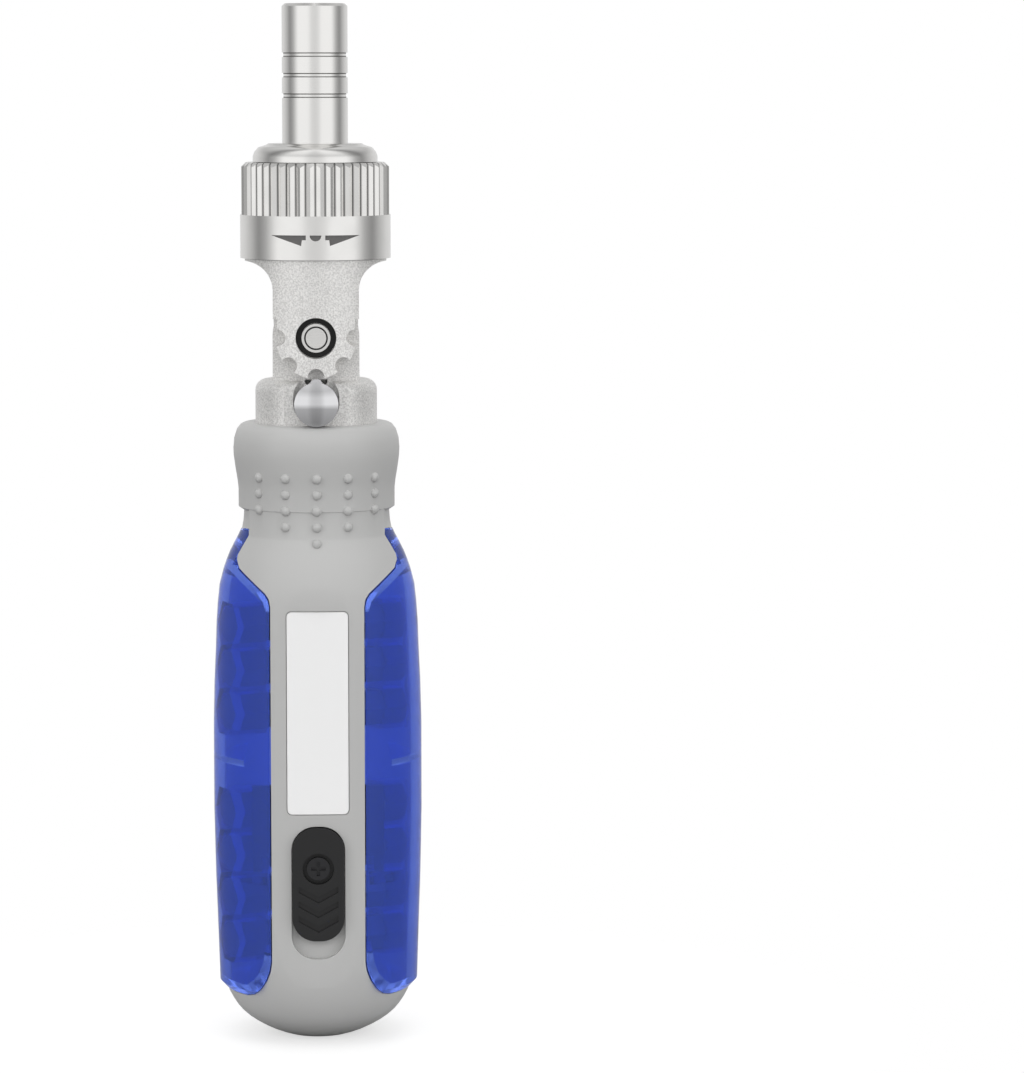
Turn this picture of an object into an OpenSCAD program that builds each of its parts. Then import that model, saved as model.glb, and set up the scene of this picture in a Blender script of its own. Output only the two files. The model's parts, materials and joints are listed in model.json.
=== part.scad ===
// Ratcheting screwdriver: tilting head, selector ring, two swing-out bit trays.
// Millimetres. Z runs up the tool, the front is -Y, the foot stands on z = 0.

/* [Bit socket] */
// outside diameter of the socket tube
socket_d = 12; // [11:0.1:13]
// length of the socket tube above the nose cap
socket_l = 25.4; // [23:0.1:28]
// size across flats of the hex hole
hex_af = 6.45; // [6.4:0.01:6.6]
// depth of the hex hole
hex_depth = 15; // [12:0.5:17]
// width of each groove on the tube
groove_w = 0.8; // [0.5:0.1:1.2]
// depth of each groove on the tube
groove_depth = 0.3; // [0.2:0.05:0.5]
// height of the lowest groove above the nose cap
groove_first = 8.7; // [7:0.1:10]
// step between the grooves
groove_step = 3.7; // [3:0.1:4.5]
// diameter of the shaft that carries the gear
shaft_d = 8; // [7.5:0.1:8.5]
// diameter of the magnet at the foot of the hex hole
magnet_d = 5; // [4:0.1:5.4]
// thickness of the magnet
magnet_t = 2.5; // [1.5:0.1:3]

/* [Head] */
// height of the tilt axis
pivot_z = 129.7; // [128:0.1:131]
// underside of the selector ring
ring_base = 143.8; // [143.4:0.1:144.4]
// height of the plain band of the ring
band_h = 7.9; // [7:0.1:8.5]
// height of the fluted part of the ring
flute_h = 9.5; // [9:0.1:10.5]
// thickness of the selector ring at the flutes
ring_wall = 3.15; // [2.9:0.05:3.4]
// step from the flutes to the plain band
band_step = 0.25; // [0.1:0.05:0.4]
// number of flutes
flute_n = 46; // [36:1:54]
// depth of the flutes
flute_depth = 0.55; // [0.3:0.05:0.8]
// height of the nose cap's cone
nose_h = 3.3; // [2.5:0.1:4]
// width by which the nose cap covers the ring
nose_cover = 1.05; // [0.9:0.05:1.3]
// inset of the nose cap's cone
nose_cone = 2.5; // [2.2:0.05:3]
// height of the straight edge of the nose cap
nose_lip = 1; // [0.8:0.1:1.4]
// chamfer on the upper edge of the ring
ring_chamfer = 0.8; // [0.6:0.1:1]
// width by which the flange carries the ring
flange_cover = 2.6; // [2.4:0.05:2.8]
// diameter of the barrel inside the ring
barrel_d = 20.7; // [20:0.1:21]
// half width of the fork
fork_half = 7.8; // [7.4:0.1:7.9]
// radius of the hollow under the flange
neck_fillet = 5; // [4.5:0.1:5.2]
// depth of the engraved arrows
arrow_depth = 0.3; // [0.2:0.05:0.5]

/* [Pivot] */
// half thickness of the yoke's tongue
tongue_half = 6.3; // [5.8:0.1:6.6]
// radius of the tongue's round end
tongue_r = 7.9; // [7.6:0.05:8]
// diameter of the pivot screw's shank
pin_d = 4; // [3.6:0.1:4.4]
// diameter of the pivot screw's head
screw_head_d = 5.2; // [5:0.1:5.6]
// width of the dark ring round the pivot screw's head
screw_gap = 1.1; // [0.9:0.05:1.3]
// size across flats of the pivot screw's socket
screw_hex = 3; // [2.5:0.1:3.4]
// radius to the tips of the detent star
star_tip = 7.3; // [7.2:0.05:7.5]
// radius of each notch of the star
notch_r = 1.5; // [1.4:0.05:1.6]
// radius of the nose that enters the notches
nose_r = 1.25; // [1.1:0.05:1.3]
// upward travel of the detent button
button_travel = 1; // [0.8:0.05:1]
// radius of the detent button's face
button_r = 4; // [3.7:0.1:4.1]
// diameter of the yoke
yoke_d = 22.3; // [22:0.1:22.6]
// top of the yoke's shoulder
yoke_top = 121.6; // [121.2:0.1:121.7]

/* [Ratchet] */
// number of teeth of the ratchet gear
tooth_n = 24; // [24:12:36]
// wall between the teeth and the barrel's outside
gear_wall = 3.35; // [3.2:0.05:3.5]
// depth of the teeth
tooth_h = 0.8; // [0.6:0.05:0.9]
// height of the gear
gear_h = 9; // [8:0.1:9.2]
// depth of the pawl axes below the barrel's outside
pawl_in = 1.25; // [1.15:0.05:1.35]
// diameter of the pawl pins
pawl_pin_d = 1.4; // [1.2:0.1:1.5]

/* [Handle] */
// half depth of the handle
half_depth = 17.8; // [17:0.1:18.4]
// radius of the gentle curve of the front and back
crown_r = 40; // [36:1:60]
// half width of the front strip
strip_half = 8.5; // [8.2:0.1:8.8]
// thickness of the front and back strips
strip_t = 3.2; // [3:0.1:3.6]
// radius of the flat foot
foot_r = 6; // [5:0.2:7]
// top of the handle's collar
collar_top = 113.6; // [113:0.1:114]
// underside of the web between the windows
web_z = 48.2; // [48:0.1:48.6]
// thickness of the web
web_t = 3; // [2.5:0.1:3.2]
// top of the upper window
window_top = 80.6; // [80:0.1:81]
// bottom of the lower window
window_base = 12; // [11:0.1:12.5]
// diameter of the grip bumps
bump_d = 1.75; // [1.5:0.05:2]

/* [Label and switch] */
// width of the label plate
label_w = 11.1; // [10.5:0.1:11.6]
// height of the label plate
label_h = 37; // [36:0.1:38]
// bottom of the label plate
label_z = 43.5; // [43.1:0.1:44]
// thickness of the label plate
label_t = 0.6; // [0.5:0.05:0.8]
// width of the slide button
slide_w = 9.4; // [9:0.1:9.6]
// length of the slide button
slide_l = 20.8; // [20:0.1:21.4]
// top of the slide button
slide_top = 41.1; // [40.8:0.1:41.2]
// travel of the slide button
slide_travel = 3.3; // [3:0.1:3.5]
// depth of the switch recess
recess_depth = 1.4; // [1.2:0.1:1.6]
// height of the switch screw's axis
switch_screw_z = 33.6; // [33.2:0.1:34]
// diameter of the switch screw's head
switch_screw_d = 4.2; // [3.8:0.1:4.6]

/* [Trays] */
// thickness of the tray's wall
tray_wall = 1.8; // [1.6:0.1:2]
// distance of the hinge axes from the middle
hinge_x = 12.3; // [12.2:0.05:12.4]
// height of the hinge axes
hinge_z = 90; // [89.8:0.1:90.2]
// radius of the hinge barrel
barrel_r = 4.2; // [4:0.05:4.3]
// half length of the hinge barrel
barrel_half = 6.6; // [6.2:0.1:6.7]
// diameter of the hinge pin
hinge_pin_d = 2; // [1.8:0.1:2.2]
// spacing of the bits
bit_pitch = 8.05; // [8:0.01:8.1]
// length of the bit holders
holder_l = 5; // [4:0.1:6]
// turn of the bits toward the back
bit_turn = 30; // [29:0.5:31]

/* [Bits] */
// size across flats of the bits
bit_af = 6.3; // [6.25:0.01:6.35]
// length of the bits
bit_l = 25; // [24.5:0.1:25.2]
// length of the bits' hex part
bit_hex_l = 14; // [12:0.5:15]

/* [Clearances] */
// running clearance on the radius
run = 0.05; // [0.03:0.01:0.08]
// clearance of parts that are held together
hold = 0.02; // [0.01:0.005:0.03]
// free space beside sliding and swinging parts
free = 0.2; // [0.15:0.01:0.25]

/* [Hidden] */
$fn = 96;
flute_d = barrel_d + 2 * ring_wall;
band_d = flute_d + 2 * band_step;
flange_d = barrel_d + 2 * flange_cover;
nose_d1 = barrel_d + 2 * nose_cover;
nose_d2 = nose_d1 - 2 * nose_cone;
gear_r = barrel_d / 2 - gear_wall;
pawl_x = barrel_d / 2 - pawl_in;
ring_top = ring_base + band_h + flute_h;
nose_base = ring_top + 0.1;
nose_top = nose_base + nose_h;
socket_top = nose_top + socket_l;
hex_r = hex_af / 2 / cos(30);
bit_r = bit_af / 2 / cos(30);
flange_z = ring_base - 0.1;
gear_z = ring_base + 4.6;
gear_top = gear_z + gear_h;
cap_seat = gear_top + 1;
chamber_r = gear_r + 0.5;
spigot_r = barrel_d / 2 - 1.2;
pawl_z = gear_z + 0.4;
pawl_h = gear_h - 0.8;
recess_r = barrel_d / 2 + 1;
slot_half = tongue_half + free;
slot_top = pivot_z + tongue_r + 0.4;
ear_y = flange_d / 2;
notch_c = star_tip - 0.3;
button_z = pivot_z - star_tip - 0.15 - 0.5 - button_r;
nose_tip = pivot_z - star_tip - 0.15;
yoke_foot = 100;
front_y = -half_depth;
switch_floor = front_y + recess_depth;
latch_y = front_y + strip_t + 2.2;
latch_t = 1.1;
latch_x = 11.8;
latch_top = 48;
latch_base = 35;
catch_top = latch_base - slide_travel - free;
finger_tip = catch_top + 0.6;
catch_t = 1.6;
pin_half = barrel_half + 1.3;
tunnel_z = 86.35;
tunnel_top = 92.6;
group_low = 18.35;
group_high = 60.6;
tail_x = -15.1;
tail_y = -4.35;

// outline of the handle, radius and height, as a body of revolution
ENV = [[18.3, 10.2], [18.6, 20], [18.95, 30], [19.2, 42], [19.2, 58], [19, 66], [18.7, 72.5], [18.55, 77],
  [18.3, 80.5], [17.95, 83.8], [17.2, 86.7], [16.65, 88.3], [16, 89.9], [15.2, 91.5], [14.4, 93],
  [13.85, 94.2], [13.5, 95.4], [13.35, 97.4]];
COLLAR = [[13.35, 97.6], [14.35, 98.25], [14.35, 101.6], [14.5, 103], [14.9, 105.4],
  [15.2, 107.6], [15.25, 109], [15.1, 110.8], [14.6, 112.4], [13.9, collar_top - 0.3],
  [13.25, collar_top]];
dome_r = 22;
dome_c = sqrt(dome_r * dome_r - foot_r * foot_r);
function dome_point(r) = [r, dome_c - sqrt(dome_r * dome_r - r * r)];
DOME = [dome_point(foot_r), dome_point(7.5), dome_point(9), dome_point(10.5), dome_point(12), dome_point(13.2),
  [14.3, 4.55], [15.1, 5.5], [15.9, 6.7], [16.6, 8], [17.2, 9.5], [17.7, 11.2], [18.1, 13], [18.35, 15]];

// axis of a cylinder along y
module along_y(y0, y1, r) {
  translate([0, y0, 0]) rotate([-90, 0, 0]) cylinder(h = y1 - y0, r = r);
}

// a plate cut from an outline in the front view
module front_plate(y0, y1) {
  translate([0, y1, 0]) rotate([90, 0, 0]) linear_extrude(y1 - y0) children();
}

module box(x0, x1, y0, y1, z0, z1) {
  translate([x0, y0, z0]) cube([x1 - x0, y1 - y0, z1 - z0]);
}

// the gentle front and back, moved inward by t
module crown(t) {
  intersection() {
    translate([0, crown_r - half_depth, -1]) cylinder(h = 130, r = crown_r - t, $fn = 240);
    translate([0, half_depth - crown_r, -1]) cylinder(h = 130, r = crown_r - t, $fn = 240);
  }
}

// the handle's outside at the trays, moved inward by t
module tray_env(t) {
  intersection() {
    rotate_extrude($fn = 144) polygon(concat([[0, ENV[0][1] - 3]], [[ENV[0][0] - 1.6 - t, ENV[0][1] - 3]],
      [[ENV[0][0] - 1.2 - t, 8.9]], [for (p = ENV) [p[0] - t, p[1]]], [[0, ENV[len(ENV) - 1][1]]]));
    crown(t);
  }
}

// the handle's outside
module handle_env() {
  intersection() {
    rotate_extrude($fn = 144) polygon(concat([[0, 0]], DOME, [for (i = [1:len(ENV) - 1]) ENV[i]], COLLAR,
      [[0, collar_top]]));
    crown(0);
  }
}

// front view of the space that the left tray takes, with a gap g
module tray_zone(g) {
  s = strip_half + g;
  polygon([[-13.5 - g, 95.6], [-14.6 - g, 89], [-14.1 - g, 87.6 - g], [-9.4 - g, 83.6 - g],
    [-8.75 - g, 82.6 - g], [-s, 81.3 - g], [-s, 15.9 + g], [-s - 0.25, 14.2 + g], [-s - 0.9, 12.4 + g],
    [-s - 1.9, 10.7 + g], [-s - 3.1, 9.4 + g], [-s - 4.4, 8.9 + g], [-30, 8.9 + g], [-30, 95.6]]);
}

// front view of the hollow of the left tray
module tray_hollow() {
  s = strip_half;
  polygon([[0, 17.5], [-s - 1.2, 17.5], [-s - 1.5, 15.3], [-s - 2.3, 13.2], [-s - 3.2, 11.9], [-s - 4.4, 10.8],
    [-30, 10.8], [-30, 85.6], [-14.3, 85.6], [-9.6, 81.6], [-9.2, 80.1], [0, 80.1]]);
}

// front view of a rounded rectangle
module round_rect(x0, x1, z0, z1, r) {
  union() {
    translate([x0 + r, z0]) square([x1 - x0 - 2 * r, z1 - z0]);
    translate([x0, z0 + r]) square([x1 - x0, z1 - z0 - 2 * r]);
    for (x = [x0 + r, x1 - r], z = [z0 + r, z1 - r]) translate([x, z]) circle(r, $fn = 32);
  }
}

// HANDLE
module handle_frame() {
  color([0.77, 0.77, 0.77]) difference() {
    union() {
      difference() {
        handle_env();
        front_plate(-30, 30) tray_zone(0);
        mirror([1, 0, 0]) front_plate(-30, 30) tray_zone(0);
      }
      waist_fill();
      grip_bumps();
    }
    // windows for the trays
    box(-30, 30, front_y + strip_t, half_depth - strip_t, web_z + web_t, window_top);
    box(-30, 30, front_y + strip_t, half_depth - strip_t, window_base, web_z);
    // seat of the yoke
    translate([0, 0, yoke_foot]) cylinder(h = 20, d = yoke_d + 2 * hold);
    translate([0, 0, tunnel_top - 1]) cylinder(h = 10, d = 4.2);
    // hinge pockets, pin bores and the tunnel between them
    for (s = [-1, 1]) translate([s * hinge_x, 0, hinge_z]) {
      along_y(-barrel_half - 0.3, barrel_half + 0.3, barrel_r + 0.3);
      along_y(-pin_half - 0.2, pin_half + 0.2, hinge_pin_d / 2 + hold);
    }
    box(-hinge_x, hinge_x, -5, 5, tunnel_z, tunnel_top);
    // label recess
    front_plate(front_y - 1, front_y + 0.9) round_rect(-label_w / 2 - 0.15, label_w / 2 + 0.15,
      label_z - 0.15, label_z + label_h + 0.15, 1);
    // switch recess and its through slot
    front_plate(front_y - 1, switch_floor) round_rect(-slide_w / 2 - free, slide_w / 2 + free,
      slide_top - slide_l - slide_travel - free, slide_top + free, slide_w / 2 - 0.3);
    front_plate(front_y - 1, front_y + 6) round_rect(-2.2 - free, 2.2 + free,
      switch_screw_z - 2.2 - slide_travel - free, switch_screw_z + 2.2 + free, 2.2);
  }
}

// the groove under the collar shows only at the sides
module waist_fill() {
  intersection() {
    translate([0, 0, 92.6]) cylinder(h = 5.8, r = 14.2, $fn = 144);
    box(-12.4, 12.4, -30, 30, 90, 100);
  }
}

module grip_bumps() {
  for (c = [[0, 5], [-5.7, 4], [5.7, 4], [-10.5, 3], [10.5, 3]])
    for (i = [0:c[1] - 1]) bump(c[0], 104.3 - 2.95 * i);
}

// one domed bump that stands square on the curved front at x and z
module bump(x, z) {
  r = lookup(z, [[90.6, 15.65], [91.5, 15.2], [93.4, 14.2], [98, 14.2], [98.2, 14.35], [101.6, 14.35],
    [103, 14.5], [105.4, 14.9]]);
  b = bump_d / 2;
  y = -sqrt(r * r - x * x);
  translate([x, y, z]) rotate([0, 0, atan2(y, x)]) rotate([0, 90, 0]) rotate_extrude($fn = 24)
    polygon([[0, -0.9], [b, -0.9], [b, 0.1], [0.85 * b, 0.4], [0.45 * b, 0.65], [0, 0.65]]);
}

module label_plate() {
  color([0.95, 0.95, 0.95]) front_plate(front_y + 0.9 - label_t, front_y + 0.9)
    round_rect(-label_w / 2, label_w / 2, label_z, label_z + label_h, 0.9);
}

// SWITCH
module slide_button() {
  z0 = slide_top - slide_l;
  color([0.1, 0.1, 0.1]) difference() {
    union() {
      front_plate(front_y - 0.7, switch_floor - run)
        round_rect(-slide_w / 2, slide_w / 2, z0, slide_top, slide_w / 2 - 0.5);
      front_plate(switch_floor - 0.5, latch_y) translate([0, switch_screw_z]) circle(2.2, $fn = 48);
    }
    // counterbore and bore of the screw
    translate([0, 0, switch_screw_z]) {
      along_y(front_y - 2, front_y + 0.6, switch_screw_d / 2 + 0.75);
      along_y(front_y - 2, latch_y + 1, 1 + hold);
    }
    // chevron grooves
    for (i = [0:2]) front_plate(front_y - 1, front_y - 0.3) chevron(z0 + 1.6 + 2.7 * i, 3.6);
  }
}

// front view of one chevron, point down
module chevron(z, w) {
  polygon([[0, z], [w, z + 2], [w, z + 3.1], [0, z + 1.1], [-w, z + 3.1], [-w, z + 2]]);
}

module switch_screw() {
  color([0.7, 0.7, 0.7]) translate([0, 0, switch_screw_z]) difference() {
    union() {
      along_y(front_y - 0.4, front_y + 0.6, switch_screw_d / 2);
      along_y(front_y + 0.5, latch_y + latch_t - 0.1, 1);
    }
    for (a = [0, 90]) rotate([0, a, 0]) box(-1.3, 1.3, front_y - 1, front_y + 0.2, -0.3, 0.3);
  }
}

module latch_plate() {
  color([0.08, 0.08, 0.1]) difference() {
    union() {
      box(-latch_x, latch_x, latch_y, latch_y + latch_t, latch_base, latch_top);
      box(-4, 4, latch_y, latch_y + latch_t, switch_screw_z - 4, latch_base + 1);
      for (s = [-1, 1]) translate([s * (latch_x - 0.9), 0, 0])
        box(-0.8, 0.8, latch_y, latch_y + latch_t, finger_tip, latch_base + 1);
    }
    translate([0, 0, switch_screw_z]) along_y(latch_y - 1, latch_y + 2, 1 + hold);
  }
}

// TRAYS
module tray_shape() {
  difference() {
    intersection() {
      union() {
        difference() {
          intersection() {
            tray_env(0);
            front_plate(-30, 30) tray_zone(free);
          }
          intersection() {
            tray_env(tray_wall);
            front_plate(-30, 30) tray_hollow();
          }
        }
        tray_inside();
        intersection() {
          translate([-hinge_x, 0, hinge_z]) along_y(-barrel_half, barrel_half, barrel_r);
          tray_env(0);
        }
      }
      // the tip stays inside the hinge pocket when it swings
      union() {
        box(-30, 0, -30, 30, 0, 88);
        box(-30, 0, -barrel_half, barrel_half, 87, hinge_z);
        translate([-hinge_x, 0, hinge_z]) along_y(-barrel_half, barrel_half, barrel_r);
      }
    }
    translate([-hinge_x, 0, hinge_z]) along_y(-20, 20, hinge_pin_d / 2 + run);
    for (i = [0:3]) holder_bore(group_low + bit_pitch * i);
    for (i = [0:2]) holder_bore(group_high + bit_pitch * i);
  }
}

// holders, divider and catches on the inner face of the wall
module tray_inside() {
  difference() {
    intersection() {
      union() {
        for (i = [0:3]) holder(group_low + bit_pitch * i);
        for (i = [0:2]) holder(group_high + bit_pitch * i);
        box(-25, -strip_half - 2.2, -25, 25, 51.4, 52.6);
      }
      tray_env(0.9);
      front_plate(-30, 30) tray_zone(free + 0.6);
    }
    box(-13.2, 0, -30, 30, 50, 54);
  }
  for (s = [-1, 1]) catch(s);
}

module at_tail(z) {
  translate([tail_x, tail_y, z]) rotate([0, 0, bit_turn]) rotate([0, 90, 0]) rotate([0, 0, 30]) children();
}

module holder(z) {
  at_tail(z) translate([0, 0, -8]) cylinder(h = 8 + holder_l, r = (bit_pitch / 2 + 0.05) / cos(30), $fn = 6);
}

module holder_bore(z) {
  at_tail(z) translate([0, 0, -hold]) cylinder(h = 40, r = hex_r, $fn = 6);
}

// a ledge with a slot that the latch finger drops through
module catch(s) {
  difference() {
    intersection() {
      box(-15.5, -strip_half - free - 0.5, min(s * 9.9, s * 20), max(s * 9.9, s * 20), catch_top - catch_t,
        catch_top);
      tray_env(0.9);
    }
    box(-latch_x + 0.9 - 0.8 - free, -latch_x + 0.9 + 0.8 + free, min(s * (-latch_y - latch_t - free),
      s * (-latch_y + free)), max(s * (-latch_y - latch_t - free), s * (-latch_y + free)), 0, 60);
  }
}

module tray_left() {
  color([0.2, 0.3, 0.75, 0.5]) tray_shape();
}

module tray_right() {
  color([0.2, 0.3, 0.75, 0.5]) rotate([0, 0, 180]) tray_shape();
}

module hinge_pins() {
  color([0.7, 0.7, 0.72]) for (s = [-1, 1]) translate([s * hinge_x, 0, hinge_z])
    along_y(-pin_half, pin_half, hinge_pin_d / 2);
}

// the leaf spring between the two hinge barrels
module tray_spring() {
  e = hinge_x - barrel_r - 0.3;
  t = 0.5;
  color([0.1, 0.1, 0.1]) front_plate(-4, 4) polygon([[-e, hinge_z], [0, tunnel_z + 0.05], [e, hinge_z],
    [e, hinge_z + t], [0, tunnel_z + 0.05 + t], [-e, hinge_z + t]]);
}

// YOKE
module yoke() {
  r = yoke_d / 2;
  c = 2;
  color([0.72, 0.72, 0.72]) difference() {
    union() {
      rotate_extrude() polygon(concat([[0, yoke_foot + 0.1], [r, yoke_foot + 0.1]],
        [for (a = [0:15:90]) [r - c + c * cos(a), yoke_top - c + c * sin(a)]], [[0, yoke_top]]));
      intersection() {
        union() {
          box(-tongue_r, tongue_r, -tongue_half, tongue_half, yoke_top - 3, pivot_z);
          translate([0, 0, pivot_z]) along_y(-tongue_half, tongue_half, tongue_r);
        }
        translate([0, 0, yoke_top - 4]) cylinder(h = 40, r = r - 0.3);
      }
    }
    // flat front
    box(-20, 20, -20, -sqrt(r * r - 5.9 * 5.9), yoke_foot + 13.6, yoke_top + 0.1);
    // pivot bore
    translate([0, 0, pivot_z]) along_y(-20, 20, pin_d / 2 + run);
    // room for the detent button, its guide and its spring
    translate([0, 0, button_z]) along_y(-20, -tongue_half - 0.4, button_r + free);
    translate([0, 0, button_z + button_travel]) along_y(-20, -tongue_half - 0.4, button_r + free);
    box(-button_r - free, button_r + free, -20, -tongue_half - 0.4, button_z, button_z + button_travel);
    box(-nose_r - free, nose_r + free, -20, -tongue_half - 0.4, button_z, yoke_top + 1);
    box(-2 - run, 2 + run, -tongue_half - 1, -2.8, button_z - 3 - 0.1, button_z + 3 + button_travel + 0.1);
    translate([0, -4.8, 106]) cylinder(h = button_z - 106, r = 1.95);
    // thread of the yoke screw
    translate([0, 0, yoke_foot - 1]) cylinder(h = 9, r = 2 + hold);
    // two marks of the mould
    for (x = [-4.5, 4]) translate([x, 0, 114.7]) along_y(-20, -sqrt(r * r - 5.9 * 5.9) + 0.15, 1.3);
  }
}

module yoke_screw() {
  color([0.6, 0.6, 0.62]) difference() {
    union() {
      translate([0, 0, tunnel_top - 2.4]) cylinder(h = 2.4, r = 3.5);
      translate([0, 0, tunnel_top - 0.1]) cylinder(h = yoke_foot + 7.6 - tunnel_top, r = 2);
    }
    translate([0, 0, tunnel_top - 3]) cylinder(h = 2, r = 1.73, $fn = 6);
  }
}

module detent_button() {
  color([0.85, 0.85, 0.87]) union() {
    intersection() {
      translate([0, 0, button_z]) along_y(-16, -tongue_half - 0.5, button_r);
      translate([0, -6.6, button_z]) sphere(r = 8.4);
    }
    front_plate(-11.6, -tongue_half - 0.5) union() {
      translate([-nose_r, button_z]) square([2 * nose_r, nose_tip - nose_r - button_z]);
      translate([0, nose_tip - nose_r]) circle(nose_r, $fn = 32);
    }
    box(-2, 2, -tongue_half - 0.6, -3, button_z - 3, button_z + 3);
  }
}

// a coil as one unbroken tube
module detent_spring() {
  z0 = 106.2;
  z1 = button_z - 3.25;
  turns = 5;
  n = turns * 8;
  w = 0.3;
  rc = 1.5;
  k = 6;
  pts = [for (i = [0:n], j = [0:k - 1]) let (a = i * 45, b = j * 360 / k, q = rc + w * cos(b))
    [q * cos(a), q * sin(a), z0 + w + (z1 - z0 - 2 * w) * i / n + w * sin(b)]];
  sides = [for (i = [0:n - 1], j = [0:k - 1]) [i * k + j, i * k + (j + 1) % k, (i + 1) * k + (j + 1) % k,
    (i + 1) * k + j]];
  ends = [[for (j = [0:k - 1]) k - 1 - j], [for (j = [0:k - 1]) n * k + j]];
  echo(least_gap = (z1 - z0 - 2 * w) / turns - 2 * w);
  color([0.6, 0.6, 0.6]) translate([0, -4.8, 0]) polyhedron(pts, [for (f = concat(sides, ends))
    [for (i = [len(f) - 1:-1:0]) f[i]]], convexity = 6);
}

// HEAD
module fork_front() {
  h = fork_half;
  f = neck_fillet;
  e = flange_d / 2;
  polygon(concat([[-h, pivot_z], [-h, flange_z - 0.4 - f]],
    [for (a = [0:9:90]) [-h - f + f * cos(a), flange_z - 0.4 - f + f * sin(a)]], [[-e - 1, flange_z - 0.4],
    [-e - 1, flange_z], [e + 1, flange_z], [e + 1, flange_z - 0.4]],
    [for (a = [90:-9:0]) [h + f - f * cos(a), flange_z - 0.4 - f + f * sin(a)]],
    [[h, flange_z - 0.4 - f], [h, pivot_z]]));
}

module pivot_head() {
  b = barrel_d / 2;
  color([0.72, 0.72, 0.72]) difference() {
    union() {
      intersection() {
        union() {
          front_plate(-20, 20) fork_front();
          translate([0, 0, pivot_z]) along_y(-20, 20, star_tip);
          box(-fork_half, fork_half, -20, 20, pivot_z + 1.5, pivot_z + 6);
        }
        translate([0, 0, pivot_z - 20]) cylinder(h = 60, r = flange_d / 2);
      }
      translate([0, 0, flange_z - 0.1]) cylinder(h = nose_base - flange_z, r = b);
    }
    // everything below the axis keeps to the star
    difference() {
      box(-20, 20, -20, 20, pivot_z - 20, pivot_z + 1.5);
      translate([0, 0, pivot_z]) along_y(-20, 20, star_tip);
    }
    // the barrel's sides give way to the button when the head lies over
    for (s = [-1, 1]) box(min(s * (star_tip - 0.2), s * 20), max(s * (star_tip - 0.2), s * 20), -20, -slot_half,
      pivot_z + 1, pivot_z + 3.4);
    // slot of the fork
    box(-20, 20, -slot_half, slot_half, pivot_z - 20, slot_top);
    // notches of the star on the front ear
    for (a = [-90:45:90]) translate([0, 0, pivot_z]) rotate([0, a, 0]) translate([0, 0, -notch_c])
      along_y(-20, 0, notch_r);
    // pivot bore and its counterbores
    translate([0, 0, pivot_z]) {
      along_y(-20, 20, pin_d / 2 + hold);
      along_y(-20, -ear_y + 3, screw_head_d / 2 + screw_gap);
      along_y(ear_y - 3, 20, screw_head_d / 2 + screw_gap);
    }
    // bores for the shaft, the gear and the nose cap
    translate([0, 0, gear_z - 6]) cylinder(h = 20, r = shaft_d / 2 + run);
    translate([0, 0, gear_z - 0.1]) cylinder(h = 20, r = chamber_r);
    translate([0, 0, cap_seat]) cylinder(h = 20, r = spigot_r + hold);
    // windows for the pawls and bores for their pins
    for (s = [-1, 1]) {
      box(min(s * 6, s * 12), max(s * 6, s * 12), -4.4, 5.2, pawl_z - 0.15, pawl_z + pawl_h + 0.15);
      translate([s * pawl_x, 0, pawl_z - 2]) cylinder(h = pawl_h + 4, r = pawl_pin_d / 2 + hold, $fn = 32);
    }
  }
}

module pivot_screw() {
  color([0.8, 0.8, 0.8]) translate([0, 0, pivot_z]) difference() {
    union() {
      along_y(-ear_y + 0.9, -ear_y + 2.95, screw_head_d / 2);
      along_y(-ear_y + 2.9, ear_y - 1.2, pin_d / 2);
    }
    translate([0, -ear_y, 0]) rotate([-90, 0, 0]) cylinder(h = 2.4, r = screw_hex / 2 / cos(30), $fn = 6);
  }
}

module pivot_nut() {
  color([0.8, 0.8, 0.8]) translate([0, 0, pivot_z]) difference() {
    along_y(ear_y - 2.95, ear_y - 0.9, screw_head_d / 2 + screw_gap - free);
    along_y(0, 20, pin_d / 2 + hold);
  }
}

// front view of one arrow that points to +x
module arrow() {
  polygon([[1.75, 0.6], [1.75, -0.25], [2.45, -0.25], [2.6, -1.3], [8, 0.6]]);
}

module selector_ring() {
  r = flute_d / 2;
  zb = ring_base + band_h;
  az = ring_base + 3.9;
  color([0.75, 0.75, 0.76]) difference() {
    union() {
      intersection() {
        translate([0, 0, zb - 0.1]) linear_extrude(flute_h + 0.1) polygon([for (i = [0:2 * flute_n - 1])
          let (q = i % 2 == 0 ? r : r - flute_depth, a = i * 180 / flute_n) [q * cos(a), q * sin(a)]]);
        rotate_extrude() polygon([[0, zb - 0.2], [r + 1, zb - 0.2], [r + 1, ring_top - ring_chamfer - 1],
          [r - ring_chamfer, ring_top], [0, ring_top]]);
      }
      translate([0, 0, ring_base]) cylinder(h = band_h, d = band_d);
    }
    translate([0, 0, ring_base - 1]) cylinder(h = 40, r = barrel_d / 2 + run);
    // room for the pawls, closed over the front arc that works them
    translate([0, 0, pawl_z - 0.3]) rotate([0, 0, -40]) rotate_extrude(angle = 260)
      translate([barrel_d / 2 - 0.5, 0]) square([recess_r - barrel_d / 2 + 0.5, pawl_h + 0.6]);
    // engraved arrows and the mark between them
    intersection() {
      front_plate(-20, 0) union() {
        translate([0, az]) arrow();
        mirror([1, 0, 0]) translate([0, az]) arrow();
        intersection() {
          translate([0, az + 0.6]) circle(1.05, $fn = 32);
          translate([-2, az - 1.4]) square([4, 2]);
        }
      }
      difference() {
        translate([0, 0, ring_base]) cylinder(h = band_h, d = band_d + 2);
        translate([0, 0, ring_base - 1]) cylinder(h = band_h + 2, r = band_d / 2 - arrow_depth);
      }
    }
  }
}

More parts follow.
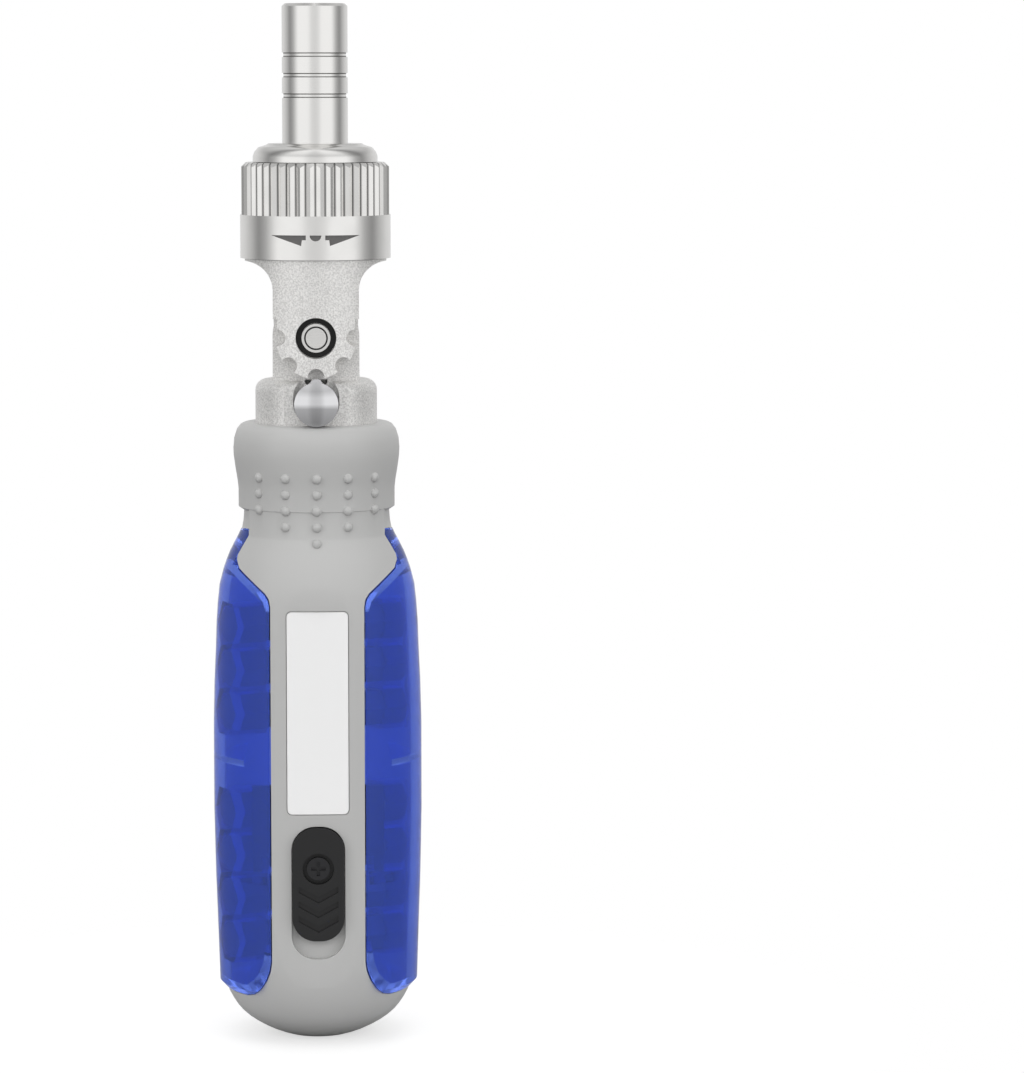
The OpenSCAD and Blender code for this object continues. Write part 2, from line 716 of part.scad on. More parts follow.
module nose_cap() {
  a = nose_d1 / 2;
  b = nose_d2 / 2;
  c = nose_h - nose_lip;
  color([0.8, 0.8, 0.81]) difference() {
    union() {
      rotate_extrude() polygon([[0, nose_base], [a, nose_base], [a, nose_base + nose_lip],
        [a - 0.12 * nose_cone, nose_base + nose_lip + 0.35 * c],
        [a - 0.4 * nose_cone, nose_base + nose_lip + 0.7 * c], [b, nose_top - 0.1 * c], [b - 0.3, nose_top],
        [0, nose_top]]);
      translate([0, 0, cap_seat + 0.05]) cylinder(h = nose_base - cap_seat, r = spigot_r);
    }
    translate([0, 0, cap_seat - 1]) cylinder(h = 20, r = socket_d / 2 + run);
  }
}

module bit_socket() {
  r = socket_d / 2;
  color([0.82, 0.82, 0.83]) difference() {
    union() {
      rotate_extrude() polygon([[0, gear_top], [r, gear_top], [r, socket_top - 0.5], [r - 0.5, socket_top],
        [0, socket_top]]);
      translate([0, 0, gear_z - 5.5]) cylinder(h = gear_h + 6, r = shaft_d / 2);
    }
    translate([0, 0, socket_top - hex_depth]) cylinder(h = 30, r = hex_r, $fn = 6);
    translate([0, 0, socket_top - hex_depth - magnet_t]) cylinder(h = 10, r = magnet_d / 2 + hold);
    for (i = [0:2]) translate([0, 0, nose_top + groove_first + groove_step * i - groove_w / 2]) difference() {
      cylinder(h = groove_w, r = r + 1);
      translate([0, 0, -1]) cylinder(h = groove_w + 2, r = r - groove_depth);
    }
  }
}

module socket_magnet() {
  color([0.4, 0.4, 0.42]) translate([0, 0, socket_top - hex_depth - magnet_t])
    cylinder(h = magnet_t - 0.1, r = magnet_d / 2);
}

// RATCHET
module ratchet_gear() {
  color([0.55, 0.55, 0.57]) translate([0, 0, gear_z + 0.05]) difference() {
    linear_extrude(gear_h - 0.1) polygon([for (i = [0:2 * tooth_n - 1])
      let (q = i % 2 == 1 ? gear_r : gear_r - tooth_h, a = i * 180 / tooth_n) [q * cos(a), q * sin(a)]]);
    translate([0, 0, -1]) cylinder(h = 20, r = shaft_d / 2 + hold);
  }
}

// one pawl on the right side: toe toward +y, heel toward -y
module pawl() {
  color([0.5, 0.5, 0.52]) translate([pawl_x, 0, pawl_z]) difference() {
    linear_extrude(pawl_h) polygon([[-1.15, -1.2], [-0.9, -3.2], [0.2, -3.2], [1.15, -1.2], [1.15, 0.9],
      [0.3, 3.9], [-2.6, 3.9], [-1.15, 1.6]]);
    translate([0, 0, -1]) cylinder(h = pawl_h + 2, r = pawl_pin_d / 2 + run, $fn = 32);
  }
}

module pawl_right() {
  pawl();
}

module pawl_left() {
  mirror([1, 0, 0]) pawl();
}

module pawl_pins() {
  color([0.7, 0.7, 0.72]) for (s = [-1, 1]) translate([s * pawl_x, 0, pawl_z - 1.9])
    cylinder(h = pawl_h + 3.1, r = pawl_pin_d / 2, $fn = 32);
}

// wire spring that lies round the barrel behind the pawls
module pawl_spring() {
  color([0.6, 0.6, 0.62]) translate([0, 0, pawl_z + pawl_h / 2]) rotate([0, 0, 30])
    rotate_extrude(angle = 120) translate([barrel_d / 2 + 0.5, 0]) circle(0.3, $fn = 16);
}

// BITS
module bit_blank(neck_r, taper) {
  intersection() {
    cylinder(h = bit_hex_l, r = bit_r, $fn = 6);
    rotate_extrude($fn = 48) polygon([[0, 0], [bit_r - 0.5, 0], [bit_r + 0.1, 0.7],
      [bit_r + 0.1, bit_hex_l - 1.2], [bit_af / 2 - 0.2, bit_hex_l], [0, bit_hex_l]]);
  }
  translate([0, 0, bit_hex_l - 0.1]) cylinder(h = taper, r1 = bit_af / 2 - 0.3, r2 = neck_r, $fn = 48);
}

module bit_cross(neck_r, tip_r) {
  difference() {
    union() {
      bit_blank(neck_r, 3);
      translate([0, 0, bit_hex_l + 2.8]) cylinder(h = bit_l - bit_hex_l - 2.8 - 2.5, r = neck_r, $fn = 48);
      translate([0, 0, bit_l - 2.6]) cylinder(h = 2.6, r1 = neck_r, r2 = tip_r, $fn = 48);
    }
    for (i = [0:3]) rotate([0, 0, 90 * i + 45]) translate([0.45 * neck_r, 0, bit_l - 4.5]) rotate([0, 0, -45])
      cube([6, 6, 8]);
  }
}

module bit_round(neck_r, len) {
  bit_blank(neck_r, 3);
  translate([0, 0, bit_hex_l + 2.8]) cylinder(h = bit_l - bit_hex_l - 2.8 - len, r = neck_r, $fn = 48);
}

module bit_prism(r, sides, len) {
  bit_round(r, len);
  translate([0, 0, bit_l - len - 0.1]) cylinder(h = len + 0.1, r = r, $fn = sides);
}

module bit_lobes(r, len, hole) {
  difference() {
    union() {
      bit_round(r, len);
      translate([0, 0, bit_l - len - 0.1]) linear_extrude(len + 0.1) polygon([for (i = [0:11])
        let (q = i % 2 == 0 ? 0.94 * r : 0.7 * r) [q * cos(30 * i), q * sin(30 * i)]]);
    }
    if (hole > 0) translate([0, 0, bit_l - 3]) cylinder(h = 5, r = hole, $fn = 24);
  }
}

module bit_flat(w, t) {
  bit_blank(2.6, 3);
  intersection() {
    translate([0, 0, bit_hex_l + 2.8]) cylinder(h = bit_l - bit_hex_l - 2.8, r = max(w / 2, 2.6), $fn = 48);
    rotate([90, 0, 90]) translate([0, 0, -w / 2]) linear_extrude(w) polygon([[-2.4, bit_hex_l + 2.8],
      [2.4, bit_hex_l + 2.8], [t / 2, bit_l - 2], [t / 2, bit_l], [-t / 2, bit_l], [-t / 2, bit_l - 2]]);
  }
}

module bit_two_prong() {
  difference() {
    bit_prism(2.4, 4, 3.5);
    box(-0.7, 0.7, -5, 5, bit_l - 2.4, bit_l + 1);
  }
}

// one bit in its holder; side 0 is the left tray
module in_tray(side, i) {
  z = i < 4 ? group_low + bit_pitch * i : group_high + bit_pitch * (i - 4);
  color([0.4, 0.38, 0.38]) rotate([0, 0, 180 * side]) at_tail(z) children();
}

module bit_cross_small() { in_tray(0, 6) bit_cross(1.9, 0.7); }
module bit_cross_medium() { in_tray(0, 5) bit_cross(2.4, 0.9); }
module bit_cross_large() { in_tray(0, 4) bit_cross(2.9, 1.2); }
module bit_hex_small() { in_tray(0, 3) bit_prism(1.8, 6, 5); }
module bit_hex_large() { in_tray(0, 2) bit_prism(2.6, 6, 5); }
module bit_fork() { in_tray(0, 1) bit_two_prong(); }
module bit_square() { in_tray(0, 0) bit_prism(1.7, 4, 4); }
module bit_star() { in_tray(1, 6) bit_lobes(2.3, 3.5, 0); }
module bit_star_hole() { in_tray(1, 5) bit_lobes(2.5, 3.5, 0.6); }
module bit_cross_fine() { in_tray(1, 4) bit_cross(2.8, 1); }
module bit_cross_long() { in_tray(1, 3) bit_cross(2.2, 0.8); }
module bit_flat_wide() { in_tray(1, 2) bit_flat(5.6, 1.1); }
module bit_flat_medium() { in_tray(1, 1) bit_flat(5, 0.9); }
module bit_flat_narrow() { in_tray(1, 0) bit_flat(4, 0.7); }

handle_frame();
label_plate();
slide_button();
switch_screw();
latch_plate();
tray_left();
tray_right();
hinge_pins();
tray_spring();
yoke();
yoke_screw();
detent_button();
detent_spring();
pivot_head();
pivot_screw();
pivot_nut();
selector_ring();
nose_cap();
bit_socket();
socket_magnet();
ratchet_gear();
pawl_left();
pawl_right();
pawl_pins();
pawl_spring();
bit_cross_small();
bit_cross_medium();
bit_cross_large();
bit_hex_small();
bit_hex_large();
bit_fork();
bit_square();
bit_star();
bit_star_hole();
bit_cross_fine();
bit_cross_long();
bit_flat_wide();
bit_flat_medium();
bit_flat_narrow();
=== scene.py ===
"""Looks of the ratcheting screwdriver: materials, small drawn marks, camera, light and floor."""

import json
import math

import bmesh
import bpy
from mathutils import Matrix, Vector


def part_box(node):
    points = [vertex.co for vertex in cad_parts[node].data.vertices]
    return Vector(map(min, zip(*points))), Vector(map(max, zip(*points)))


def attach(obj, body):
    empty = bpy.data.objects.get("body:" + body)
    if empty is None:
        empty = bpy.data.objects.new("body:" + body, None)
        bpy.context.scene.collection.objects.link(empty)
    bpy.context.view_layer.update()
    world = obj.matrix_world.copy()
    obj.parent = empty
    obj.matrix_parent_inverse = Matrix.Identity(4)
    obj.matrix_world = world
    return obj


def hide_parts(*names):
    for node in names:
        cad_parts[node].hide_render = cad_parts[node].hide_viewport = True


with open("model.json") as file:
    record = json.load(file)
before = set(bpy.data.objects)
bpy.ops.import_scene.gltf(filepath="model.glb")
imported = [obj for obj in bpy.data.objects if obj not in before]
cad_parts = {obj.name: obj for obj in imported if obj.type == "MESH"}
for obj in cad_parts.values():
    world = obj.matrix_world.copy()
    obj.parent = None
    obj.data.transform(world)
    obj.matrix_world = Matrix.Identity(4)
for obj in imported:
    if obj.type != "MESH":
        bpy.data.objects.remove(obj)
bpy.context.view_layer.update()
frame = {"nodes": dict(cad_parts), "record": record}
NODES = frame["nodes"]
# the frame is in metres, and the sizes below are in mm unless a comment says otherwise
MM = 0.001


# Colours and materials

WHITE = (1, 1, 1, 1)
# between these values lies nearly all of a noise
NOISE_LOW, NOISE_HIGH = 0.35, 0.65
# scale of a wave texture that gives one ring to a unit of length
WAVE_SCALE = 0.314
RING_BUMP = 0.25
# the ring's flutes: their count, the height where they start, and where their painted shade begins and is full,
# with 0.5 at the bottom of a flute
FLUTES = 46
FLUTE_BASE = 151.7
SHADE_FROM, SHADE_TO = 0.34, 0.47


def linear(hex_code):
    """An sRGB hex colour as linear red, green, blue and alpha."""
    values = [int(hex_code[i : i + 2], 16) / 255 for i in (1, 3, 5)]
    return [v / 12.92 if v <= 0.04045 else ((v + 0.055) / 1.055) ** 2.4 for v in values] + [1.0]


def add(tree, kind, inputs=None, stops=(), **attributes):
    """Adds a node: inputs take a value or a socket to link, stops fill a colour ramp."""
    node = tree.nodes.new(kind)
    for name, value in attributes.items():
        setattr(node, name, value)
    for key, value in (inputs or {}).items():
        if isinstance(value, bpy.types.NodeSocket):
            tree.links.new(value, node.inputs[key])
        else:
            node.inputs[key].default_value = value
    if stops:
        line = node.color_ramp.elements
        line[0].position, line[0].color = stops[0]
        line[-1].position, line[-1].color = stops[-1]
        for at, colour in stops[1:-1]:
            line.new(at).color = colour
    return node


def material(name, colour, **settings):
    """A principled material with its colour and constants set on the shader itself."""
    made = bpy.data.materials.new(name)
    made.use_nodes = True
    shader = made.node_tree.nodes["Principled BSDF"]
    shader.inputs["Base Color"].default_value = linear(colour)
    for key, value in settings.items():
        shader.inputs[key.replace("_", " ")].default_value = value
    return made


def dress(made, socket, source):
    """Links a pattern to an input of a material's shader."""
    made.node_tree.links.new(source, made.node_tree.nodes["Principled BSDF"].inputs[socket])


def grain(made, size_mm, height_mm, strength=0.5):
    """Gives a material a fine bump of the given grain size."""
    tree = made.node_tree
    place = add(tree, "ShaderNodeTexCoord").outputs["Object"]
    settings = {"Vector": place, "Scale": 1.0 / (size_mm * MM), "Detail": 2.0}
    noise = add(tree, "ShaderNodeTexNoise", settings).outputs["Fac"]
    settings = {"Strength": strength, "Distance": height_mm * MM, "Height": noise}
    dress(made, "Normal", add(tree, "ShaderNodeBump", settings).outputs["Normal"])
    return made


def handled(made, size_mm, smooth, dull):
    """Lets a surface run between a smooth and a dull roughness, as handling leaves it."""
    tree = made.node_tree
    place = add(tree, "ShaderNodeTexCoord").outputs["Object"]
    settings = {"Vector": place, "Scale": 1.0 / (size_mm * MM), "Detail": 3.0}
    noise = add(tree, "ShaderNodeTexNoise", settings).outputs["Fac"]
    settings = {"Value": noise, "From Min": NOISE_LOW, "From Max": NOISE_HIGH, "To Min": smooth, "To Max": dull}
    dress(made, "Roughness", add(tree, "ShaderNodeMapRange", settings).outputs["Result"])
    return made


def speckle(made, dark, light, size_mm):
    """Gives a casting the fine light and dark grain of its blasted skin."""
    tree = made.node_tree
    place = add(tree, "ShaderNodeTexCoord").outputs["Object"]
    settings = {"Vector": place, "Scale": 1.0 / (size_mm * MM), "Detail": 1.0}
    noise = add(tree, "ShaderNodeTexNoise", settings).outputs["Fac"]
    stops = ((NOISE_LOW, linear(dark)), (NOISE_HIGH, linear(light)))
    dress(made, "Base Color", add(tree, "ShaderNodeValToRGB", {"Fac": noise}, stops).outputs["Color"])


def painted_flute_shade(made, dark, light):
    """Paints shade into the bottoms of the ring's flutes, darkening them."""
    tree = made.node_tree
    place = add(tree, "ShaderNodeTexCoord").outputs["Object"]
    axes = add(tree, "ShaderNodeSeparateXYZ", {0: place}).outputs
    angle = add(tree, "ShaderNodeMath", {0: axes["Y"], 1: axes["X"]}, operation="ARCTAN2").outputs[0]
    turns = add(tree, "ShaderNodeMath", {0: angle, 1: FLUTES / (2 * math.pi)}, operation="MULTIPLY").outputs[0]
    saw = add(tree, "ShaderNodeMath", {0: turns, 1: 0.5}, operation="PINGPONG").outputs[0]
    above = add(tree, "ShaderNodeMath", {0: axes["Z"], 1: FLUTE_BASE * MM}, operation="GREATER_THAN").outputs[0]
    deep = add(tree, "ShaderNodeMath", {0: saw, 1: above}, operation="MULTIPLY").outputs[0]
    # the colour runs from the plate's own grey to painted shade at the bottom of each flute
    stops = ((SHADE_FROM, linear(light)), (SHADE_TO, linear(dark)))
    dress(made, "Base Color", add(tree, "ShaderNodeValToRGB", {"Fac": deep}, stops).outputs["Color"])


def turned_rings(made, pitch_mm, height_mm):
    """Gives a turned metal piece the fine rings that the lathe leaves round Z."""
    tree = made.node_tree
    place = add(tree, "ShaderNodeTexCoord").outputs["Object"]
    settings = {"Vector": place, "Scale": WAVE_SCALE / (pitch_mm * MM), "Distortion": 0.0}
    wave = add(tree, "ShaderNodeTexWave", settings, bands_direction="Z").outputs["Fac"]
    settings = {"Strength": RING_BUMP, "Distance": height_mm * MM, "Height": wave}
    dress(made, "Normal", add(tree, "ShaderNodeBump", settings).outputs["Normal"])
    return made


# light grey ABS, moulded with a fine etched skin: a soft sheen with no hard edge to it
moulded_abs = grain(material("moulded_abs", "#C2C2C1", Roughness=0.42), 0.25, 0.006)
# white rigid vinyl plate, left bare: flat, clean and slightly silky
white_vinyl = grain(material("white_vinyl", "#FFFFFF", Roughness=0.35), 0.5, 0.0004)
# black nylon, moulded satin: deep black with a dull light on its rounded edges
black_nylon = grain(material("black_nylon", "#1B1B1C", Roughness=0.38), 0.3, 0.01)
# black acetal, moulded: waxy and dark, behind the trays
black_acetal = grain(material("black_acetal", "#0C0E1C", Roughness=0.5), 0.4, 0.004)
# royal blue polystyrene, moulded clear and glossy; its index is set low, so thin walls don't go dark
clear_styrene = material("clear_styrene", "#6480E2", Roughness=0.06, IOR=1.15, Transmission_Weight=0.7)
# blackened spring steel strip: dark with a faint metal sheen
black_spring = handled(material("black_spring", "#141414", Metallic=0.6), 2.0, 0.32, 0.48)
# zinc, cast and shot-blasted: pale grain that scatters much of its light, drawn coarse enough to show
blasted_zinc = grain(material("blasted_zinc", "#EAE9E7", Roughness=0.4, Metallic=0.55), 0.3, 0.06, 0.85)
speckle(blasted_zinc, "#DAD9D7", "#FBFAF8", 0.3)
# chromed steel, polished: a mirror with a few touch marks
polished_chrome = handled(material("polished_chrome", "#DFDFE1", Metallic=1.0), 3.0, 0.03, 0.08)
# satin nickel plate of the ring, with painted shade in the bottoms of its flutes
ring_nickel = handled(material("ring_nickel", "#F2F1EF", Metallic=1.0), 4.0, 0.17, 0.23)
painted_flute_shade(ring_nickel, "#757473", "#F2F1EF")
# satin nickel plate over turned steel: long soft streaks of light and fine rings, drawn coarse enough to show
turned_nickel = turned_rings(material("turned_nickel", "#F2F1EF", Roughness=0.2, Metallic=1.0), 0.5, 0.004)
# bright steel of pins and hidden screws, tumbled: even grey shine
tumbled_steel = handled(material("tumbled_steel", "#BDBCBA", Metallic=1.0), 1.5, 0.2, 0.3)
# hardened tool steel with a gunmetal finish: dark, dry and slightly uneven
gunmetal_steel = handled(material("gunmetal_steel", "#938F8F", Metallic=1.0), 1.5, 0.32, 0.44)
# blackened steel of the switch screw: dark, with a dull metal shine
black_screw = handled(material("black_screw", "#3C3C3E", Metallic=0.8), 1.0, 0.28, 0.4)
# painted shade in the pivot screw's recess and round its socket: dry and nearly black
painted_recess_shade = grain(material("painted_recess_shade", "#101010", Roughness=0.45), 0.3, 0.01)
# painted shade in the corners of the grooves: a grey line of nickel
painted_groove_shade = handled(material("painted_groove_shade", "#8C8B89", Metallic=1.0), 1.5, 0.35, 0.45)
# grey enamel wiped into the engraved marks: flat and dull
mark_enamel = grain(material("mark_enamel", "#6A6968", Roughness=0.6), 0.4, 0.005)

# the record's material slots
MADE = {
    "handle_grey": moulded_abs,
    "label_white": white_vinyl,
    "switch_black": black_nylon,
    "latch_black": black_acetal,
    "tray_blue": clear_styrene,
    "spring_black": black_spring,
    "cast_metal": blasted_zinc,
    "chrome": polished_chrome,
    "ring_metal": ring_nickel,
    "nickel": turned_nickel,
    "steel": tumbled_steel,
    "bit_steel": gunmetal_steel,
}
for part in frame["record"]["subparts"]:
    mesh = NODES[part["node"]].data
    mesh.materials.clear()
    mesh.materials.append(MADE[part["material_slot"]])
# two screws are finished apart from the slot that they share with the pins
NODES["switch_screw"].data.materials[0] = black_screw
NODES["pivot_screw"].data.materials[0] = turned_nickel


# Pieces made here

# marks on the ring's band: radius of their floor, thickness of the enamel, and outlines as x and z
MARK_R = 13.52
MARK_T = 0.05
MARK_TOP = 148.3
MOON_R = 1.05
MOON_STEP = 15
PATCH_STEP = 0.4
ARROW = ((1.75, MARK_TOP), (2.6, MARK_TOP), (8.0, MARK_TOP), (2.6, 146.4), (2.45, 147.45), (1.75, 147.45))
MOON = [
    (MOON_R * math.cos(math.radians(a)), MARK_TOP + MOON_R * math.sin(math.radians(a)))
    for a in range(180, 361, MOON_STEP)
]
# pivot screw: height of its axis, radii of head and recess, the recess's floor, and the ring of painted shade
# round its socket
PIVOT_Z = 129.7
SCREW_R = 2.6
RECESS_R = 3.7
RECESS_Y = -9.98
RECESS_T = 0.06
RECESS_FREE = 0.03
SOCKET_RING = (1.85, 2.15)
SOCKET_LIFT = 0.01
SOCKET_T = 0.03
RING_SIDES = 48
# grooves of the bit socket: heights, width and floor radius, and the lines of painted shade in their corners
GROOVE_Z = (173.3, 177.0, 180.7)
GROOVE_W = 0.8
GROOVE_R = 5.7
LINE_W = 0.18
LINE_IN = 0.1
LINE_LIFT = 0.01
LINE_T = 0.03
LINE_SIDES = 64
# corners of a CAD mesh nearer than this are one corner
MERGE = 0.002


def piece(name, bm, made, body):
    """Turns a bmesh into an object that rides on a body."""
    mesh = bpy.data.meshes.new(name)
    bm.to_mesh(mesh)
    bm.free()
    mesh.materials.append(made)
    obj = bpy.data.objects.new(name, mesh)
    bpy.context.scene.collection.objects.link(obj)
    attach(obj, body)
    return obj


def on_cylinder(bm, outline, radius):
    """A patch with a front-view outline, cut fine and laid on a cylinder about Z, front at -Y."""
    face = bm.faces.new([bm.verts.new((x * MM, 0, z * MM)) for x, z in outline])
    low, high = min(x for x, z in outline), max(x for x, z in outline)
    geom = [face, *face.edges, *face.verts]
    for step in range(1, int((high - low) / PATCH_STEP) + 1):
        at = (low + step * PATCH_STEP) * MM
        cut = bmesh.ops.bisect_plane(bm, geom=geom, plane_co=(at, 0, 0), plane_no=(1, 0, 0))
        geom = cut["geom"]
    for vert in {v for f in geom if isinstance(f, bmesh.types.BMFace) for v in f.verts}:
        vert.co.y = -math.sqrt((radius * MM) ** 2 - vert.co.x**2)


def make_marks():
    """Grey enamel on the floors of the engraved arrows and the mark between them."""
    bm = bmesh.new()
    for outline in (ARROW, [(-x, z) for x, z in ARROW], MOON):
        on_cylinder(bm, outline, MARK_R)
    bmesh.ops.recalc_face_normals(bm, faces=bm.faces)
    if sum(f.normal.y for f in bm.faces) > 0:
        bmesh.ops.reverse_faces(bm, faces=bm.faces)
    bmesh.ops.solidify(bm, geom=bm.faces[:], thickness=MARK_T * MM)
    bmesh.ops.recalc_face_normals(bm, faces=bm.faces)
    piece("ring_marks", bm, mark_enamel, "ring")


def front_ring(bm, z, inner, outer, y, thick):
    """A flat ring on the middle line that faces the front at y."""
    verts = []
    for radius in (inner, outer):
        verts += bmesh.ops.create_circle(bm, segments=RING_SIDES, radius=radius * MM)["verts"]
    bmesh.ops.bridge_loops(bm, edges=list({e for v in verts for e in v.link_edges}))
    bmesh.ops.rotate(bm, verts=verts, matrix=Matrix.Rotation(math.pi / 2, 3, "X"))
    bmesh.ops.translate(bm, verts=verts, vec=(0, y * MM, z * MM))
    faces = list({f for v in verts for f in v.link_faces})
    bmesh.ops.solidify(bm, geom=faces, thickness=thick * MM)


def make_pivot_shade():
    """Painted shade: a black sheet on the floor of the pivot screw's recess and a dark ring round the screw's
    own socket.
    """
    bm = bmesh.new()
    front_ring(bm, PIVOT_Z, SCREW_R + RECESS_FREE, RECESS_R - RECESS_FREE, RECESS_Y, RECESS_T)
    face_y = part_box("pivot_screw")[0][1] / MM
    front_ring(bm, PIVOT_Z, *SOCKET_RING, face_y - SOCKET_LIFT, SOCKET_T)
    bmesh.ops.recalc_face_normals(bm, faces=bm.faces)
    # both rings are painted shade, laid where the recesses fall dark
    piece("pivot_painted_shade", bm, painted_recess_shade, "head")


def make_groove_lines():
    """Grey lines of painted shade in the corners of the socket's grooves."""
    bm = bmesh.new()
    r = (GROOVE_R + LINE_LIFT) * MM
    for z in GROOVE_Z:
        for side in (-1, 1):
            place = Matrix.Translation((0, 0, (z + side * (GROOVE_W / 2 - LINE_IN)) * MM))
            bmesh.ops.create_cone(
                bm, segments=LINE_SIDES, radius1=r, radius2=r, depth=LINE_W * MM, matrix=place
            )
    bmesh.ops.solidify(bm, geom=bm.faces[:], thickness=-LINE_T * MM)
    for face in bm.faces:
        face.smooth = True
    bmesh.ops.recalc_face_normals(bm, faces=bm.faces)
    # the lines are painted shade in the groove corners
    piece("groove_shade_lines", bm, painted_groove_shade, "spindle")


def smooth_copy(name, body, slot, angle):
    """A merged copy of a CAD node, shaded smooth except at edges sharper than an angle in degrees."""
    node = NODES[name]
    bm = bmesh.new()
    bm.from_mesh(node.data)
    bm.transform(node.matrix_world)
    bmesh.ops.remove_doubles(bm, verts=bm.verts, dist=MERGE * MM)
    bmesh.ops.dissolve_degenerate(bm, edges=bm.edges, dist=MERGE * MM)
    for face in bm.faces:
        face.smooth = True
    for edge in bm.edges:
        edge.smooth = len(edge.link_faces) == 2 and edge.calc_face_angle(0) < math.radians(angle)
    obj = piece(name + "_smooth", bm, node.data.materials[0], body)
    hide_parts(name)


# nodes with curved outsides, the body each rides on, its material slot and its sharpest smooth angle
SMOOTH = (
    ("handle_frame", "handle", "handle_grey", 42),
    ("tray_left", "left_tray", "tray_blue", 24),
    ("tray_right", "right_tray", "tray_blue", 24),
    ("nose_cap", "head", "nickel", 40),
    ("bit_socket", "spindle", "nickel", 24),
    ("detent_button", "button", "chrome", 24),
    ("slide_button", "switch", "switch_black", 24),
)


# Camera, light and floor, in metres

AIM = Vector((0.036, 0, 0.09225))
EYE = Vector((0, -0.82, 0.178))
# width of the picture at the point that the camera looks at, and of the sensor in mm
VIEW_W = 0.1891
SENSOR = 36
# soft lights: name, place, the point that each faces, width and height, power in watts
LAMPS = (
    ("left_box", (-0.55, -0.4, 0.25), (0, 0, 0.1), (0.3, 0.7), 1.3),
    ("right_box", (0.55, -0.4, 0.25), (0, 0, 0.1), (0.3, 0.7), 1.3),
    ("front_fill", (0, -1.2, 0.6), (0, 0, 0.1), (1.0, 0.6), 3.2),
    ("back_fill", (0, 1.1, 0.5), (0, 0, 0.1), (1.0, 0.6), 3.0),
    ("top_box", (0, 0.0, 1.0), (0, 0, 0.0), (1.0, 1.0), 3.5),
)
# the floor's half width, its glow for the camera, and where it starts and ends to fade
FLOOR_HALF = 0.6
FLOOR_GLOW = 0.6
FADE_FROM, FADE_TO = 0.03, 0.11


def greys(*levels):
    """Places and grey levels as the stops of a colour ramp."""
    return [(at, (grey, grey, grey, 1)) for at, grey in levels]


# the room as bright metal sees it, from the front (0) to the back (1): white sides, a pale front and back
ROOM = greys(
    (0.0, 0.74),
    (0.06, 0.78),
    (0.13, 1.0),
    (0.34, 1.0),
    (0.45, 0.44),
    (0.54, 0.26),
    (0.64, 0.52),
    (0.76, 0.7),
    (1.0, 0.78),
)
# the same from straight below (0) to straight above (1), as a share
HEIGHT = greys((0.0, 0.3), (0.38, 0.5), (0.48, 1.0), (0.62, 1.0), (0.75, 0.7), (1.0, 1.0))
# soft fill light from below to above
FILL = greys((0.0, 0.12), (0.45, 0.3), (0.6, 0.5), (1.0, 0.5))


def make_camera():
    """A long lens straight in front, a little below the tool's top."""
    data = bpy.data.cameras.new("camera")
    data.lens = SENSOR * (AIM - EYE).length / VIEW_W
    data.sensor_fit = "HORIZONTAL"
    data.sensor_width = SENSOR
    obj = bpy.data.objects.new("camera", data)
    bpy.context.scene.collection.objects.link(obj)
    obj.location = EYE
    obj.rotation_euler = (AIM - EYE).to_track_quat("-Z", "Y").to_euler()
    bpy.context.scene.camera = obj


def make_lamp(name, at, to, size, power):
    """A rectangular soft light that neither the camera nor a reflection shows."""
    data = bpy.data.lights.new(name, "AREA")
    data.shape = "RECTANGLE"
    data.size, data.size_y = size
    data.energy = power
    obj = bpy.data.objects.new(name, data)
    bpy.context.scene.collection.objects.link(obj)
    obj.location = at
    obj.rotation_euler = (Vector(to) - Vector(at)).to_track_quat("-Z", "Y").to_euler()
    obj.visible_camera = False
    obj.visible_glossy = False


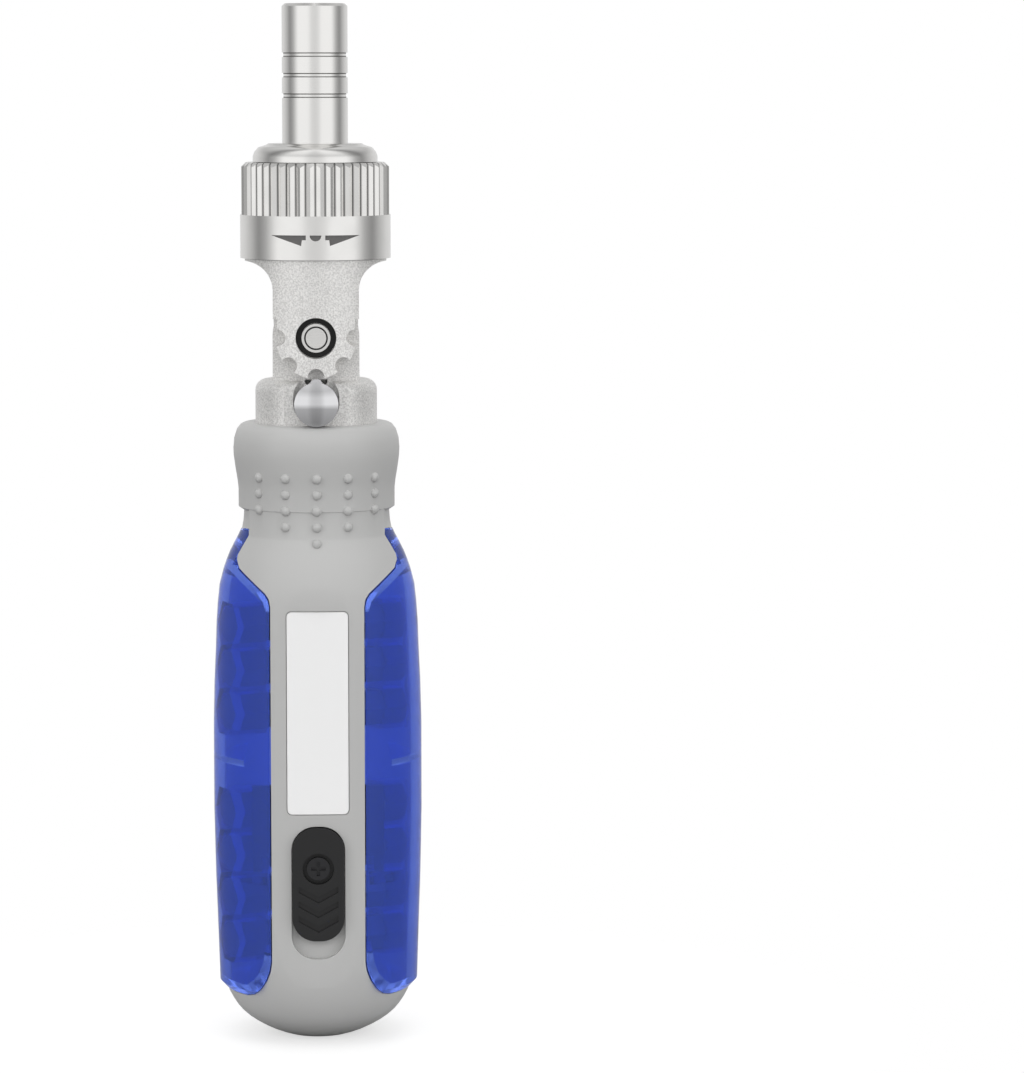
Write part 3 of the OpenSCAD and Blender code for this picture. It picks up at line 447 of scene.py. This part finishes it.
def make_world():
    """White for the camera and through clear parts, grey fill, and light and dark walls for reflections."""
    world = bpy.data.worlds.new("studio")
    bpy.context.scene.world = world
    world.use_nodes = True
    tree = world.node_tree
    tree.nodes.clear()
    path = add(tree, "ShaderNodeLightPath").outputs
    rays = {0: path["Is Camera Ray"], 1: path["Is Transmission Ray"]}
    seen = add(tree, "ShaderNodeMath", rays, operation="MAXIMUM").outputs[0]
    place = add(tree, "ShaderNodeTexCoord").outputs["Generated"]
    axes = add(tree, "ShaderNodeSeparateXYZ", {0: place}).outputs
    side = add(tree, "ShaderNodeMath", {0: axes["X"]}, operation="ABSOLUTE").outputs[0]
    front = add(tree, "ShaderNodeMath", {0: axes["Y"], 1: -1.0}, operation="MULTIPLY").outputs[0]
    angle = add(tree, "ShaderNodeMath", {0: side, 1: front}, operation="ARCTAN2").outputs[0]
    turn = add(tree, "ShaderNodeMath", {0: angle, 1: math.pi}, operation="DIVIDE").outputs[0]
    rise = add(tree, "ShaderNodeMath", {0: axes["Z"], 1: 0.5, 2: 0.5}, operation="MULTIPLY_ADD").outputs[0]
    walls = add(tree, "ShaderNodeValToRGB", {"Fac": turn}, ROOM).outputs["Color"]
    share = add(tree, "ShaderNodeValToRGB", {"Fac": rise}, HEIGHT).outputs["Color"]
    soft = add(tree, "ShaderNodeValToRGB", {"Fac": rise}, FILL).outputs["Color"]
    plain = add(tree, "ShaderNodeBackground", {"Color": WHITE, "Strength": 1.0}).outputs[0]
    fill = add(tree, "ShaderNodeBackground", {"Color": soft, "Strength": 1.0}).outputs[0]
    room = add(tree, "ShaderNodeBackground", {"Color": walls, "Strength": share}).outputs[0]
    shiny = add(tree, "ShaderNodeMixShader", {0: path["Is Glossy Ray"], 1: fill, 2: room}).outputs[0]
    shown = add(tree, "ShaderNodeMixShader", {0: seen, 1: shiny, 2: plain}).outputs[0]
    add(tree, "ShaderNodeOutputWorld", {"Surface": shown})


def make_floor():
    """A white floor round the foot that keeps the contact shadow and fades into the backdrop."""
    bm = bmesh.new()
    bmesh.ops.create_grid(bm, x_segments=1, y_segments=1, size=FLOOR_HALF)
    mesh = bpy.data.meshes.new("floor")
    bm.to_mesh(mesh)
    bm.free()
    # matt white paper sweep: takes the shadow and throws no shine
    paper = material("white_paper", "#B8B8B8", Roughness=0.8, Emission_Color=WHITE)
    tree = paper.node_tree
    seen = add(tree, "ShaderNodeLightPath").outputs["Is Camera Ray"]
    glow = add(tree, "ShaderNodeMath", {0: seen, 1: FLOOR_GLOW}, operation="MULTIPLY").outputs[0]
    dress(paper, "Emission Strength", glow)
    place = add(tree, "ShaderNodeTexCoord").outputs["Object"]
    reach = add(tree, "ShaderNodeVectorMath", {0: place}, operation="LENGTH").outputs["Value"]
    limits = {"Value": reach, "From Min": FADE_FROM, "From Max": FADE_TO}
    fade = add(tree, "ShaderNodeMapRange", limits).outputs["Result"]
    gone = add(tree, "ShaderNodeBsdfTransparent").outputs[0]
    shader = tree.nodes["Principled BSDF"].outputs[0]
    mix = add(tree, "ShaderNodeMixShader", {0: fade, 1: shader, 2: gone}).outputs[0]
    tree.links.new(mix, tree.nodes["Material Output"].inputs["Surface"])
    mesh.materials.append(paper)
    obj = bpy.data.objects.new("floor", mesh)
    bpy.context.scene.collection.objects.link(obj)


make_marks()
make_pivot_shade()
make_groove_lines()
for smooth in SMOOTH:
    smooth_copy(*smooth)
bpy.context.scene.view_settings.view_transform = "Standard"
make_camera()
make_world()
make_floor()
for lamp in LAMPS:
    make_lamp(*lamp)
